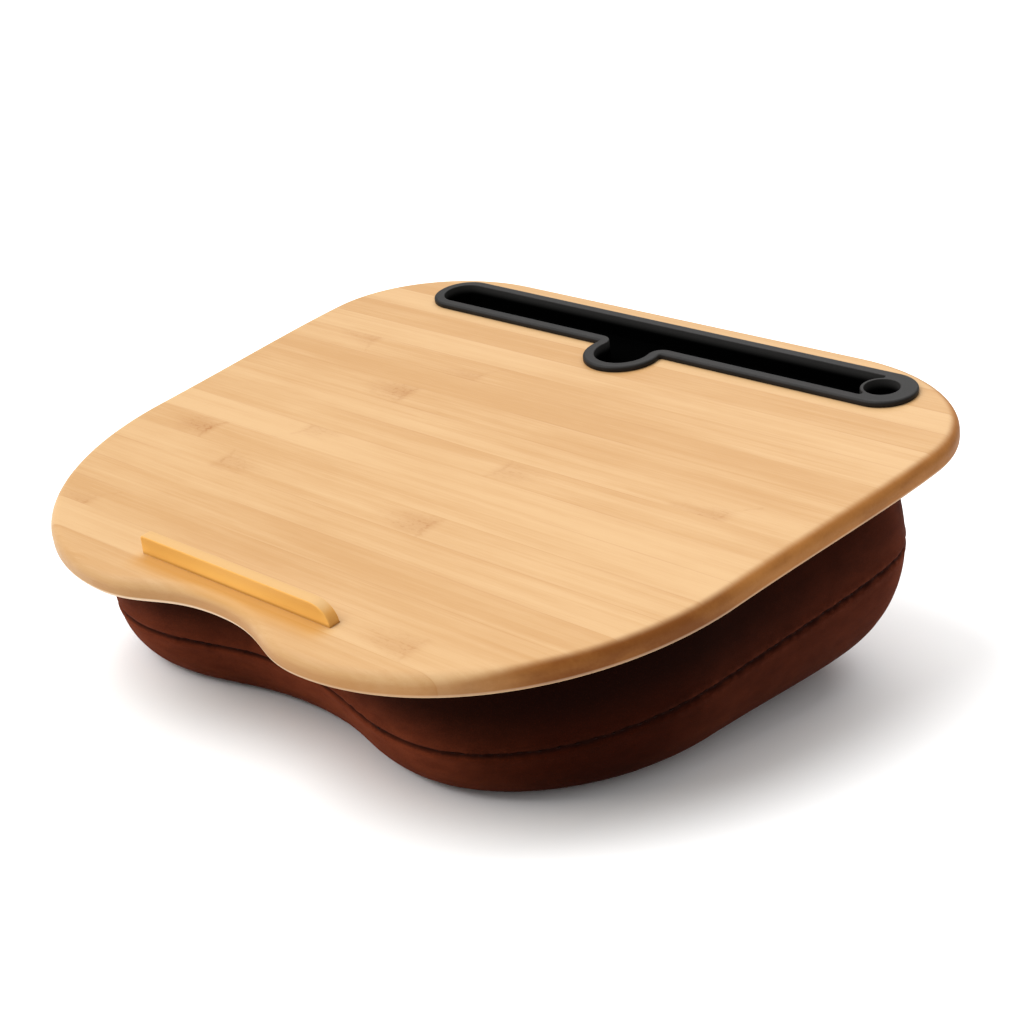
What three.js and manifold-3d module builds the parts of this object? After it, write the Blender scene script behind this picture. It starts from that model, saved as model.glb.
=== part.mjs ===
import * as THREE from 'three';
import { mergeVertices } from 'three/addons/utils/BufferGeometryUtils.js';
import Module from 'manifold-3d';

const wasm = await Module();
wasm.setup();

// Lap desk for a laptop: bamboo board on a wedge cushion. Millimetres, +Z up, the user sits at -Y.

// Board outline
const boardWidth = 440;
const boardDepth = 389;
const boardThickness = 12;
const boardEdgeRound = 6;
const backCornerRun = 96;
const backCornerRise = 82;
const sideWaist = 11.5;
const frontCornerRise = 147;
const lobeOffset = 72;
const bellyNotchDepth = 15.5;

// Attitude of the board over the floor
const boardTiltDegrees = 10;
const boardCentreHeight = 115;

// Bamboo staves glued side by side
const staveCount = 18;
const glueLine = 0.1;

// Accessory tray let into the board along its back
const trayEndMargin = 47.5;
const trayOffsetX = 5;
const trayWidthShare = 0.1;
const trayBackShare = 0.0937;
const trayLip = 4.2;
const trayLipThickness = 3;
const trayLipRound = 1;
const trayWall = 2.3;
const trayFloor = 1.5;
const trayClearance = 0.4;
const traySeatGap = 0.3;
const fingerNotchX = 1;
const fingerNotchShare = 0.5913;
const fingerDropShare = 0.1645;
const fingerNotchFillet = 1.5;
const penWellWall = 2;
const penWellGap = 1.25;

// Stop ledge that keeps the laptop from sliding towards the user
const ledgeLength = 137;
const ledgeHeight = 10.5;
const ledgeThickness = 6.5;
const ledgeOffsetX = 2.5;
const ledgeFrontMargin = 10;
const ledgeNoseRun = 13;
const ledgeCornerRound = 2;
const ledgeEdgeRound = 0.6;
const ledgeSeatGap = 0.1;

// Countersunk screws that hold the ledge from below
const screwSpacing = 84;
const screwShankRadius = 1.4;
const screwHeadRadius = 3;
const screwHeadHeight = 2.2;
const screwReach = 7;
const screwTip = 2;
const screwClearance = 0.3;

// Hook and loop tapes between board and cushion
const tapeLength = 100;
const tapeWidth = 25;
const tapeThickness = 1.5;
const tapeSpread = 0.216;
const tapeBackShare = 0.2185;
const tapeFrontShare = 0.1928;
const tapeGap = 0.1;

// Wedge cushion
const cushionSideInset = 17;
const cushionFrontInset = 36;
const cushionBackInset = 38;
const cushionLobeOffset = 104;
const cushionNotchExtra = 3.5;
const cushionSeamDrop = 59.5;
const cushionTopTuck = 12;
const cushionBottomTuck = 0.87;
const coverThickness = 1.6;
const seamGap = 0.2;
const fillingGap = 0.3;

// Fineness of curves
const outlineSegments = 9;
const arcSegments = 6;
const roundSegments = 3;
const cushionSteps = 4;
const turnSegments = 20;

const halfWidth = boardWidth / 2;
const halfDepth = boardDepth / 2;
const tilt = THREE.MathUtils.degToRad(boardTiltDegrees);
const circleFactor = 4 / 3 * (Math.SQRT2 - 1);

// Sizes of the tray and places of the tapes that follow the board
const trayLength = boardWidth - 2 * trayEndMargin;
const trayWidth = trayWidthShare * boardDepth;
const trayOffsetY = halfDepth - trayBackShare * boardDepth;
const fingerNotchRadius = fingerNotchShare * trayWidth;
const fingerNotchDrop = fingerDropShare * trayWidth;
const penWellRadius = trayWidth / 2 - trayLip - trayWall - penWellWall - penWellGap;
const tapeOffsetX = tapeSpread * boardWidth;
const tapeBackY = tapeBackShare * boardDepth;
const tapeFrontY = -tapeFrontShare * boardDepth;

// Closed manifold body from a three.js geometry
function solid(geometry) {
  const bare = geometry.clone();
  bare.deleteAttribute('normal');
  bare.deleteAttribute('uv');
  const welded = mergeVertices(bare, 1e-4);
  const index = welded.index.array;
  const triangles = [];
  for (let i = 0; i < index.length; i += 3) {
    const [a, b, c] = [index[i], index[i + 1], index[i + 2]];
    if (a !== b && b !== c && c !== a) {
      triangles.push(a, b, c);
    }
  }
  return new wasm.Manifold(new wasm.Mesh({
    numProp: 3,
    vertProperties: Float32Array.from(welded.attributes.position.array),
    triVerts: Uint32Array.from(triangles),
  }));
}

function geometryOf(body) {
  const mesh = body.getMesh();
  const geometry = new THREE.BufferGeometry();
  geometry.setAttribute('position', new THREE.BufferAttribute(Float32Array.from(mesh.vertProperties), 3));
  geometry.setIndex(new THREE.BufferAttribute(Uint32Array.from(mesh.triVerts), 1));
  const flat = geometry.toNonIndexed();
  flat.computeVertexNormals();
  return flat;
}

function boxBetween(x0, x1, y0, y1, z0, z1) {
  const box = new THREE.BoxGeometry(x1 - x0, y1 - y0, z1 - z0);
  return box.translate((x0 + x1) / 2, (y0 + y1) / 2, (z0 + z1) / 2);
}

function cylinderBetween(radius, x, y, z0, z1) {
  const cylinder = new THREE.CylinderGeometry(radius, radius, z1 - z0, turnSegments * 2);
  return cylinder.rotateX(Math.PI / 2).translate(x, y, (z0 + z1) / 2);
}

function slab(shape, z0, z1) {
  const geometry = new THREE.ExtrudeGeometry(shape, {
    depth: z1 - z0,
    bevelEnabled: false,
    curveSegments: arcSegments,
  });
  return geometry.translate(0, 0, z0);
}

// Plate whose top and bottom rims are rounded inside its outline
function roundedSlab(shape, z0, z1, round, segments) {
  const geometry = new THREE.ExtrudeGeometry(shape, {
    depth: z1 - z0 - 2 * round,
    bevelThickness: round,
    bevelSize: round,
    bevelOffset: -round,
    bevelSegments: segments,
    curveSegments: arcSegments,
  });
  return geometry.translate(0, 0, z0 + round);
}

// Board plan: flat back, elliptic back corners, waisted sides, front lobes and a belly notch
function boardOutline(notchDepth, lobeX) {
  const cornerX = halfWidth - backCornerRun;
  const cornerY = halfDepth - backCornerRise;
  const waistX = halfWidth - sideWaist;
  const waistY = frontCornerRise - halfDepth;
  const lobeReach = waistX - lobeX;
  const right = new THREE.Path();
  right.moveTo(0, halfDepth);
  right.lineTo(cornerX, halfDepth);
  right.bezierCurveTo(
    cornerX + circleFactor * backCornerRun, halfDepth,
    halfWidth, cornerY + circleFactor * backCornerRise,
    halfWidth, cornerY,
  );
  right.bezierCurveTo(
    halfWidth, cornerY - (cornerY - waistY) * 0.26,
    waistX + sideWaist * 0.32, waistY + (cornerY - waistY) * 0.38,
    waistX, waistY,
  );
  right.bezierCurveTo(
    waistX - sideWaist * 0.5, waistY - frontCornerRise * 0.56,
    lobeX + lobeReach * 0.53, -halfDepth,
    lobeX, -halfDepth,
  );
  right.bezierCurveTo(
    lobeX * 0.6, -halfDepth,
    lobeX * 0.52, notchDepth - halfDepth,
    0, notchDepth - halfDepth,
  );
  const points = right.getPoints(outlineSegments);
  const left = points.slice(1, -1).reverse().map((point) => new THREE.Vector2(-point.x, point.y));
  return new THREE.Shape(points.concat(left));
}

// Tray plan: a long slot with round ends and a finger notch in its near side
function trayOutline(inset) {
  const end = trayWidth / 2;
  const straight = (trayLength - trayWidth) / 2;
  const radius = end - inset;
  const filletY = -end - fingerNotchFillet;
  const notchY = -end - fingerNotchDrop;
  const reach = fingerNotchRadius + fingerNotchFillet;
  const filletX = Math.sqrt(reach ** 2 - (notchY - filletY) ** 2);
  const lean = Math.atan2(notchY - filletY, filletX);
  const notchX = fingerNotchX - trayOffsetX;
  const notch = fingerNotchRadius - inset;
  const fillet = fingerNotchFillet + inset;
  const shape = new THREE.Shape();
  shape.moveTo(-straight, -radius);
  shape.absarc(notchX - filletX, filletY, fillet, Math.PI / 2, lean, true);
  shape.absarc(notchX, notchY, notch, Math.PI + lean, 2 * Math.PI - lean, false);
  shape.absarc(notchX + filletX, filletY, fillet, Math.PI - lean, Math.PI / 2, true);
  shape.absarc(straight, 0, radius, -Math.PI / 2, Math.PI / 2, false);
  shape.absarc(-straight, 0, radius, Math.PI / 2, Math.PI * 1.5, false);
  return shape;
}

const desk = new THREE.Group();
desk.name = 'lap_desk';
const tilted = new THREE.Group();
tilted.name = 'tilted';
tilted.rotation.x = tilt;
tilted.position.z = boardCentreHeight;
desk.add(tilted);

function place(name, geometry, colour, roughness, metalness = 0) {
  const material = new THREE.MeshStandardMaterial({ color: colour, roughness, metalness });
  const mesh = new THREE.Mesh(geometry, material);
  mesh.name = name;
  tilted.add(mesh);
  return mesh;
}

const bambooTones = [0xefc08e, 0xe9b781, 0xf1c799];
const ledgeTone = 0xe2ab68;
const trayTone = 0x2a2c2c;
const suedeTone = 0x3a1409;
const fillingTone = 0xe6e2da;
const tapeTone = 0x18181a;
const steelTone = 0xb9bcc0;

// Ledge position: its front face keeps a margin behind the belly notch
const ledgeFrontY = bellyNotchDepth - halfDepth + ledgeFrontMargin;
const ledgeMidY = ledgeFrontY + ledgeThickness / 2;
const ledgeMidX = ledgeOffsetX;
const screwXs = [ledgeMidX - screwSpacing / 2, ledgeMidX + screwSpacing / 2];

// Screw turned about its own axis, head at the foot; clearance turns it into its hole
function screwProfile(clearance) {
  const length = boardThickness + screwReach;
  const shank = screwShankRadius + clearance;
  const head = screwHeadRadius + clearance;
  const foot = clearance > 0 ? -1 : 0;
  const points = [
    new THREE.Vector2(0, foot),
    new THREE.Vector2(head, foot),
    new THREE.Vector2(head, 0),
    new THREE.Vector2(shank, screwHeadHeight + clearance),
    new THREE.Vector2(shank, length - screwTip + clearance),
    new THREE.Vector2(0, length + clearance),
  ];
  const used = clearance > 0 ? points : points.filter((point, i) => i !== 1);
  return new THREE.LatheGeometry(used, turnSegments).rotateX(Math.PI / 2);
}

function screwHole(x) {
  return solid(screwProfile(screwClearance).translate(x, ledgeMidY, -boardThickness));
}

// Board staves, cut from one rounded blank
const blankDepth = 2 * boardThickness;
const blank = solid(
  roundedSlab(boardOutline(bellyNotchDepth, lobeOffset), -blankDepth, 0, boardEdgeRound, roundSegments),
);
const trayCut = solid(
  slab(trayOutline(trayLip - trayClearance), -boardThickness - 1, 1).translate(trayOffsetX, trayOffsetY, 0),
);
const staveWidth = boardDepth / staveCount;
for (let i = 0; i < staveCount; i += 1) {
  const y0 = -halfDepth + i * staveWidth + glueLine / 2;
  const y1 = y0 + staveWidth - glueLine;
  const strip = solid(boxBetween(-boardWidth, boardWidth, y0, y1, -boardThickness, 1));
  let stave = blank.intersect(strip).subtract(trayCut);
  for (const x of screwXs) {
    stave = stave.subtract(screwHole(x));
  }
  const pieces = stave.decompose().filter((piece) => piece.volume() > 1);
  pieces.sort((a, b) => a.boundingBox().min[0] - b.boundingBox().min[0]);
  const label = `stave_${String(i + 1).padStart(2, '0')}`;
  const sides = ['_left', '_right'];
  pieces.forEach((piece, k) => {
    const name = pieces.length > 1 ? label + sides[k] : label;
    place(name, geometryOf(piece), bambooTones[i % bambooTones.length], 0.5);
  });
}

// Moulded tray: lip on the board, trough below it, round pen well at the right end
const trayStraight = (trayLength - trayWidth) / 2;
const trayBottom = -boardThickness + traySeatGap;
const trayTop = traySeatGap + trayLipThickness;
const penX = trayStraight;
const lip = solid(roundedSlab(trayOutline(0), traySeatGap, trayTop, trayLipRound, roundSegments));
const troughBody = solid(slab(trayOutline(trayLip), trayBottom, trayTop - trayLipThickness / 2));
const troughSpace = solid(slab(trayOutline(trayLip + trayWall), trayBottom + trayFloor, trayTop + 1));
const wellRing = solid(cylinderBetween(penWellRadius + penWellWall, penX, 0, -boardThickness, trayTop + 2));
const wellBlock = solid(
  boxBetween(penX, penX + trayWidth, -trayWidth, trayWidth, -boardThickness, trayTop + 2),
);
const wellSpace = solid(cylinderBetween(penWellRadius, penX, 0, trayBottom + trayFloor, trayTop + 1));
const tray = lip.add(troughBody).subtract(troughSpace.subtract(wellRing.add(wellBlock))).subtract(wellSpace);
const trayMesh = place('tray_insert', geometryOf(tray), trayTone, 0.55);
trayMesh.position.set(trayOffsetX, trayOffsetY, 0);

// Stop ledge: square at its left end, nosed down to the board at its right end
const ledgeShape = new THREE.Shape();
ledgeShape.moveTo(0, 0);
ledgeShape.lineTo(ledgeLength, 0);
ledgeShape.bezierCurveTo(
  ledgeLength, ledgeHeight * circleFactor,
  ledgeLength - ledgeNoseRun * (1 - circleFactor), ledgeHeight,
  ledgeLength - ledgeNoseRun, ledgeHeight,
);
ledgeShape.lineTo(ledgeCornerRound, ledgeHeight);
ledgeShape.quadraticCurveTo(0, ledgeHeight, 0, ledgeHeight - ledgeCornerRound);
const ledgeBlock = roundedSlab(ledgeShape, 0, ledgeThickness, ledgeEdgeRound, 2);
ledgeBlock.rotateX(Math.PI / 2);
ledgeBlock.translate(ledgeMidX - ledgeLength / 2, ledgeMidY + ledgeThickness / 2, ledgeSeatGap);
let ledge = solid(ledgeBlock);
for (const x of screwXs) {
  ledge = ledge.subtract(screwHole(x));
}
place('stop_ledge', geometryOf(ledge), ledgeTone, 0.5);
screwXs.forEach((x, i) => {
  const screw = solid(screwProfile(0));
  const mesh = place(`ledge_screw_${i + 1}`, geometryOf(screw), steelTone, 0.35, 1);
  mesh.position.set(x, ledgeMidY, -boardThickness);
});

// Hook tapes under the board, loop tapes on the cushion
const tapeHookZ = -boardThickness - tapeGap - tapeThickness / 2;
const tapeLoopZ = tapeHookZ - tapeThickness - tapeGap;
const tapeSpots = [
  ['back_left', -tapeOffsetX, tapeBackY],
  ['back_right', tapeOffsetX, tapeBackY],
  ['front_left', -tapeOffsetX, tapeFrontY],
  ['front_right', tapeOffsetX, tapeFrontY],
];
for (const [spot, x, y] of tapeSpots) {
  const hook = place(`hook_tape_${spot}`, new THREE.BoxGeometry(tapeLength, tapeWidth, tapeThickness), tapeTone, 0.9);
  hook.position.set(x, y, tapeHookZ);
  const loop = place(`loop_tape_${spot}`, new THREE.BoxGeometry(tapeLength, tapeWidth, tapeThickness), tapeTone, 0.95);
  loop.position.set(x, y, tapeLoopZ);
}

// Cushion halves, swept from the seam outline up to the board and down to the floor
const cushionTopZ = tapeLoopZ - tapeThickness / 2 - tapeGap;
const cushionSeamZ = -cushionSeamDrop;

function floorZ(y) {
  return -(boardCentreHeight + y * Math.sin(tilt)) / Math.cos(tilt);
}

const cushionOutline = boardOutline(bellyNotchDepth + cushionNotchExtra, cushionLobeOffset);

// Moves the vertices of the cushion's plan inwards, each by its own inset
function drawIn(position, i, inset) {
  const x = position.getX(i);
  const y = position.getY(i);
  const endInset = y < 0 ? cushionFrontInset : cushionBackInset;
  position.setX(i, x * (1 - (cushionSideInset + inset) / halfWidth));
  position.setY(i, y * (1 - (endInset + inset) / halfDepth));
}

function cushionHalf(upper, shrink) {
  const geometry = new THREE.ExtrudeGeometry(cushionOutline, { depth: 1, steps: cushionSteps, bevelEnabled: false });
  const position = geometry.attributes.position;
  const seam = cushionSeamZ + (upper ? seamGap / 2 : -seamGap / 2);
  for (let i = 0; i < position.count; i += 1) {
    const turn = (upper ? position.getZ(i) : 1 - position.getZ(i)) * Math.PI / 2;
    const height = cushionSeamZ - floorZ(position.getY(i));
    const tuck = upper ? cushionTopTuck : cushionBottomTuck * height;
    drawIn(position, i, shrink + tuck * (1 - Math.cos(turn)));
    const limit = upper ? cushionTopZ - shrink : floorZ(position.getY(i)) + shrink / Math.cos(tilt);
    position.setZ(i, seam + (limit - seam) * Math.sin(turn));
  }
  return solid(geometry);
}

const coverTop = cushionHalf(true, 0).subtract(cushionHalf(true, coverThickness));
const coverBottom = cushionHalf(false, 0).subtract(cushionHalf(false, coverThickness));
place('cushion_cover_top', geometryOf(coverTop), suedeTone, 0.95);
place('cushion_cover_bottom', geometryOf(coverBottom), suedeTone, 0.95);

const fillingShrink = coverThickness + fillingGap;
const seamSlab = slab(cushionOutline, cushionSeamZ - seamGap, cushionSeamZ + seamGap);
const seamPosition = seamSlab.attributes.position;
for (let i = 0; i < seamPosition.count; i += 1) {
  drawIn(seamPosition, i, fillingShrink);
}
const fillingSeam = solid(seamSlab);
const filling = cushionHalf(true, fillingShrink).add(cushionHalf(false, fillingShrink)).add(fillingSeam);
place('cushion_filling', geometryOf(filling), fillingTone, 0.9);

// Middle of the whole object over the origin
desk.updateMatrixWorld(true);
const extent = new THREE.Box3().setFromObject(desk, true);
tilted.position.y -= (extent.min.y + extent.max.y) / 2;
tilted.position.x -= (extent.min.x + extent.max.x) / 2;
desk.updateMatrixWorld(true);

export default desk;
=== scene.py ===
# %% [markdown]
# A lap desk for a laptop: a bamboo board with a drop-in tray at its back and a stop ledge at
# its front, standing on a soft wedge cushion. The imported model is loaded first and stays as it
# is. Every finished piece is then built in metres in the same frame, and names the body that
# carries it, so the tray can still be lifted out.

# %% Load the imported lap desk
import math

import bmesh
import bpy
import numpy as np
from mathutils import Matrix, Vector
from mathutils.bvhtree import BVHTree


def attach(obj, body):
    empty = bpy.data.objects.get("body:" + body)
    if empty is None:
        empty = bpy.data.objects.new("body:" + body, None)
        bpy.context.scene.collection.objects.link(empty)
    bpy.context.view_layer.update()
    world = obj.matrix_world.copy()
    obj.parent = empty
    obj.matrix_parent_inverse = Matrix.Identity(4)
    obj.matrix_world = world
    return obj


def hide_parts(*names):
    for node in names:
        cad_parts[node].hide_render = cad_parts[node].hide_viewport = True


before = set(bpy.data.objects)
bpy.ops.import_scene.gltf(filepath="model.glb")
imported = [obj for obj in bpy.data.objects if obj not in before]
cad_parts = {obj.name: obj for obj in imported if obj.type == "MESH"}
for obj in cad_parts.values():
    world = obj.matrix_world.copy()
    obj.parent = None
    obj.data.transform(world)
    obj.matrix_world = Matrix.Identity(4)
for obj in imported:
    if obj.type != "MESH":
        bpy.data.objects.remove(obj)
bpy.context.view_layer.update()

# %% [markdown]
# The photograph was taken from the right of the front, a little above the board. A camera could
# be pointed by eye, but here its place, turn and lens come from lines measured in the picture,
# so that every edge of the model falls on its edge in the photograph.

# %% Camera at the photograph's place
CAMERA_DOWN = 20.42
CAMERA_TURN = 42.05
lens = bpy.data.cameras.new("photo_camera")
lens.sensor_width = 36.0
lens.lens = 66.62
camera = bpy.data.objects.new("photo_camera", lens)
camera.location = (0.6605, -0.6980, 0.4394)
camera.rotation_euler = (math.radians(90 - CAMERA_DOWN), 0.0, math.radians(CAMERA_TURN))
bpy.context.scene.collection.objects.link(camera)
bpy.context.scene.camera = camera
bpy.context.scene.view_settings.view_transform = "Standard"
print("camera", tuple(camera.location))

# %% [markdown]
# Board and tray lean towards the user by ten degrees. It is easier to draw them lying flat, in
# millimetres, with the middle of the board's top face at zero. One function then leans each
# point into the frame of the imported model.

# %% From the flat board to the leaning one
BOARD_WIDTH = 440.0
BOARD_DEPTH = 389.0
BOARD_THICKNESS = 12.0
TILT = math.radians(10)
BOARD_CENTRE = (0.0, -1.5467, 115.0)
HALF_W = BOARD_WIDTH / 2
HALF_D = BOARD_DEPTH / 2


def leaning(x, y, z):
    """Place in metres of a point given in millimetres on the flat board."""
    across = y * math.cos(TILT) - z * math.sin(TILT) + BOARD_CENTRE[1]
    up = y * math.sin(TILT) + z * math.cos(TILT) + BOARD_CENTRE[2]
    return Vector((x, across, up)) / 1000


def flat_from(points):
    """Board coordinates in millimetres of an array of leaning points in metres."""
    moved = points * 1000 - np.array(BOARD_CENTRE)
    y = moved[:, 1] * math.cos(TILT) + moved[:, 2] * math.sin(TILT)
    z = moved[:, 2] * math.cos(TILT) - moved[:, 1] * math.sin(TILT)
    return np.stack([moved[:, 0], y, z], axis=1)


print("front edge of the board", tuple(round(v, 4) for v in leaning(0, -HALF_D, 0)))

# %% [markdown]
# Materials here are small sums: grain plus tone plus a mark. Wiring each Math node by hand would
# hide the sum, so one class wraps a socket and lets Python's own signs add the nodes. Every other
# node comes from its one method, which takes the type, the settings and the sockets.


# %% Sockets that can be added and multiplied
class Wire:
    """A socket of a node tree, to be added, multiplied and fed into others."""

    def __init__(self, tree, socket=None):
        self.tree = tree
        self.socket = socket

    def node(self, kind, settings=None, inputs=None, output=0):
        made = self.tree.nodes.new(kind)
        for key, value in (settings or {}).items():
            setattr(made, key, value)
        for key, value in (inputs or {}).items():
            if isinstance(value, Wire):
                self.tree.links.new(value.socket, made.inputs[key])
            else:
                made.inputs[key].default_value = value
        return Wire(self.tree, made.outputs[output])

    def output(self, name):
        return Wire(self.tree, self.socket.node.outputs[name])

    def calc(self, operation, *values):
        return self.node("ShaderNodeMath", {"operation": operation}, dict(enumerate(values)))

    def __add__(self, other):
        return self.calc("ADD", self, other)

    __radd__ = __add__

    def __sub__(self, other):
        return self.calc("SUBTRACT", self, other)

    def __rsub__(self, other):
        return self.calc("SUBTRACT", other, self)

    def __mul__(self, other):
        return self.calc("MULTIPLY", self, other)

    __rmul__ = __mul__

    def __truediv__(self, other):
        return self.calc("DIVIDE", self, other)

    def __neg__(self):
        return self.calc("MULTIPLY", self, -1.0)

    def __abs__(self):
        return self.calc("ABSOLUTE", self)

    def fade(self, low, high):
        """Nought below low, one above high, smooth between."""
        settings = {"interpolation_type": "SMOOTHSTEP"}
        return self.node("ShaderNodeMapRange", settings, {"Value": self, "From Min": low, "From Max": high})

    def feed(self, shader, name):
        self.tree.links.new(self.socket, shader.inputs[name])


print("socket class", Wire.__name__)

# %% [markdown]
# Every finish here is one Principled shader fed by a few textures. The textures could hang on UV
# maps, but nothing needs unwrapping when they are read in the board's own flat coordinates, so
# grain runs along the board and depth is counted from its top face.


# %% Helpers for finishes
def srgb(red, green, blue):
    """Linear colour from the eight-bit values seen on a screen."""
    shares = [v / 255 for v in (red, green, blue)]
    return tuple(v / 12.92 if v <= 0.04045 else ((v + 0.055) / 1.055) ** 2.4 for v in shares) + (1.0,)


def new_finish(name):
    """New material, its Principled shader, and a wire to hang nodes on."""
    material = bpy.data.materials.new(name)
    material.use_nodes = True
    tree = material.node_tree
    tree.nodes.clear()
    output = tree.nodes.new("ShaderNodeOutputMaterial")
    shader = tree.nodes.new("ShaderNodeBsdfPrincipled")
    tree.links.new(shader.outputs[0], output.inputs[0])
    return material, shader, Wire(tree)


def board_place(wire):
    """Object coordinates turned into the flat board's own, in metres."""
    here = wire.node("ShaderNodeTexCoord", output="Object")
    shift = tuple(v / 1000 for v in BOARD_CENTRE)
    inputs = {"Vector": here, "Location": shift, "Rotation": (TILT, 0.0, 0.0)}
    return wire.node("ShaderNodeMapping", {"vector_type": "TEXTURE"}, inputs)


def split(vector):
    first = vector.node("ShaderNodeSeparateXYZ", inputs={0: vector})
    return first, first.output(1), first.output(2)


def joined(wire, x, y, z):
    return wire.node("ShaderNodeCombineXYZ", inputs={0: x, 1: y, 2: z})


def noise(vector, scale=1.0, detail=2.0, roughness=0.5):
    inputs = {"Vector": vector, "Scale": scale, "Detail": detail, "Roughness": roughness}
    return vector.node("ShaderNodeTexNoise", inputs=inputs)


def stretched(vector, x, y, z):
    return vector.node("ShaderNodeVectorMath", {"operation": "MULTIPLY"}, {0: vector, 1: (x, y, z)})


def random_of(value, seed):
    """Random number between nought and one that belongs to a whole number."""
    return value.node("ShaderNodeTexWhiteNoise", {"noise_dimensions": "1D"}, {"W": value + seed})


def tinted(first, second, share):
    """Colour that goes from first to second as share goes from nought to one."""
    settings = {"data_type": "RGBA"}
    return share.node("ShaderNodeMix", settings, {0: share, 6: first, 7: second}, output=2)


def bumped(height, shader, strength, distance):
    inputs = {"Height": height, "Strength": strength, "Distance": distance}
    height.node("ShaderNodeBump", inputs=inputs).feed(shader, "Normal")


print("finish helpers ready")

# %% [markdown]
# The board is pressed from bamboo staves about 22 mm wide, laid side by side. Each has its own
# tone, soft streaks, long fibres, fine pores and now and then the brown smudge of a growth ring.
# An image would give this too, but would not scale or export as cleanly, so the staves are counted
# across the board and each takes random values from its number.

# %% Tone of the staves
STAVES = 18
STAVE = BOARD_DEPTH / STAVES / 1000


def stave_rows(place):
    """Number of the stave at a place, and the share of its width there."""
    y = split(place)[1]
    wander = noise(stretched(place, 2.0, 9.0, 9.0), detail=1.0)
    row = (y + HALF_D / 1000 + (wander - 0.5) * 0.0014) / STAVE
    stave = row.calc("FLOOR", row)
    return stave, row - stave


def stave_tone(wire, place, stave):
    """Shade between the light and the dark tone, and the fibres in it."""
    x, y, z = split(place)
    tone = random_of(stave, 4.3)
    drift = noise(joined(wire, x * 3.4 + tone * 37.0, y * 10.0, stave * 5.7), detail=2.0)
    streak = noise(joined(wire, x * 4.0 + tone * 11.0, y * 170.0, stave * 2.3), detail=2.0, roughness=0.55)
    fibre = noise(joined(wire, x * 10.0, y * 640.0, z * 640.0), detail=3.0, roughness=0.62)
    cloud = noise(joined(wire, x * 15.0, y * 75.0, stave * 9.1), detail=3.0, roughness=0.6)
    shade = (tone - 0.5) * 0.42 + (drift - 0.5) * 1.0 + (streak - 0.5) * 0.9 + (cloud - 0.5) * 0.6
    shade = shade + (fibre - 0.5) * 0.5 + 0.46
    return shade.fade(0.0, 1.0), fibre


def fine_marks(wire, place, stave, within):
    """Pores, pale flecks, and the lines where two staves meet."""
    x, y, z = split(place)
    pores = noise(joined(wire, x * 60.0, y * 2300.0, z * 2300.0), detail=1.0).fade(0.6, 0.78)
    flecks = noise(joined(wire, x * 45.0, y * 1250.0, z * 1250.0), detail=1.0).fade(0.64, 0.76)
    stretch = noise(joined(wire, x * 9.0, stave * 3.9, 0.0), detail=1.0).fade(0.44, 0.62)
    return pores, flecks, abs(within - 0.5).fade(0.46, 0.5) * stretch


print("staves", STAVES, "of", round(STAVE * 1000, 1), "mm")

# %% [markdown]
# Where a bamboo stem has a growth ring, the sawn stave shows a bowed brown line, a smudge that
# trails off along the fibres and a few dark dots. A random pattern would scatter them evenly, but
# a board has only a few, so each ring's place, the way it trails and its strength are listed.

# %% Growth rings
RINGS = (
    (-151, -54, -1, 1.0), (-110, -78, 1, 0.6), (-96, -24, 1, 0.5), (-80, 34, -1, 0.9),
    (-142, -150, -1, 0.6), (-154, 83, -1, 0.6), (42, -76, -1, 0.8), (-58, 68, -1, 0.55),
    (36, -10, 1, 0.5), (164, 1, -1, 0.7), (115, -162, -1, 0.6),
)


def growth_rings(wire, place, stave, rings):
    """Smudges of the rings, and the lines and dots in them."""
    x, y = split(place)[:2]
    ragged = noise(joined(wire, x * 75.0, y * 190.0, stave), detail=4.0, roughness=0.62) - 0.5
    smudge, line = x * 0.0, x * 0.0
    for ring_x, ring_y, trail, strength in rings:
        row = math.floor((ring_y + HALF_D) / BOARD_DEPTH * STAVES)
        here = (1 - abs(stave - row).fade(0.1, 0.9)) * strength
        across = (y - ring_y / 1000) / 0.0115
        along = (x - ring_x / 1000) * trail + across * across * 0.004 + ragged * 0.012
        tail = along.calc("MAXIMUM", along / 0.032, along / -0.006)
        reach = wire.calc("SQRT", tail * tail + across * across) + ragged * 1.2
        smudge = wire.calc("MAXIMUM", smudge, (1 - reach.fade(0.05, 1.2)) * here)
        line = wire.calc("MAXIMUM", line, (1 - abs(along).fade(0.0003, 0.0019)) * here)
    dots = noise(joined(wire, x * 330.0, y * 620.0, stave), detail=2.0).fade(0.52, 0.68) * smudge
    return smudge, line * ragged.fade(-0.12, 0.1) * 0.7 + dots


print("growth rings", len(RINGS))

# %% [markdown]
# The lacquer is thin and satin. The right and front rims show the brown cut ends of the staves in
# patches, with painted shade on top: the brown fades out to the left, where the rim faces the light,
# and is darkest round the right front lobe. A pale line at the foot of the rim is a painted highlight
# of light from the floor, and a golden band in front of the stop ledge is painted shade with light
# bounced from the ledge. All this could be painted on an unwrapped board. Here the turn of the
# surface and its place on the board pick the brown, so it stays on the rim whatever the board's shape.

# %% Cut ends with painted shade, painted highlight and painted golden band
LEDGE_X = 2.5
LEDGE_LENGTH = 137.0
LEDGE_Y = 25.5 - HALF_D
DARKEST_RIM_LOBE = (0.185, -0.105)


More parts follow.
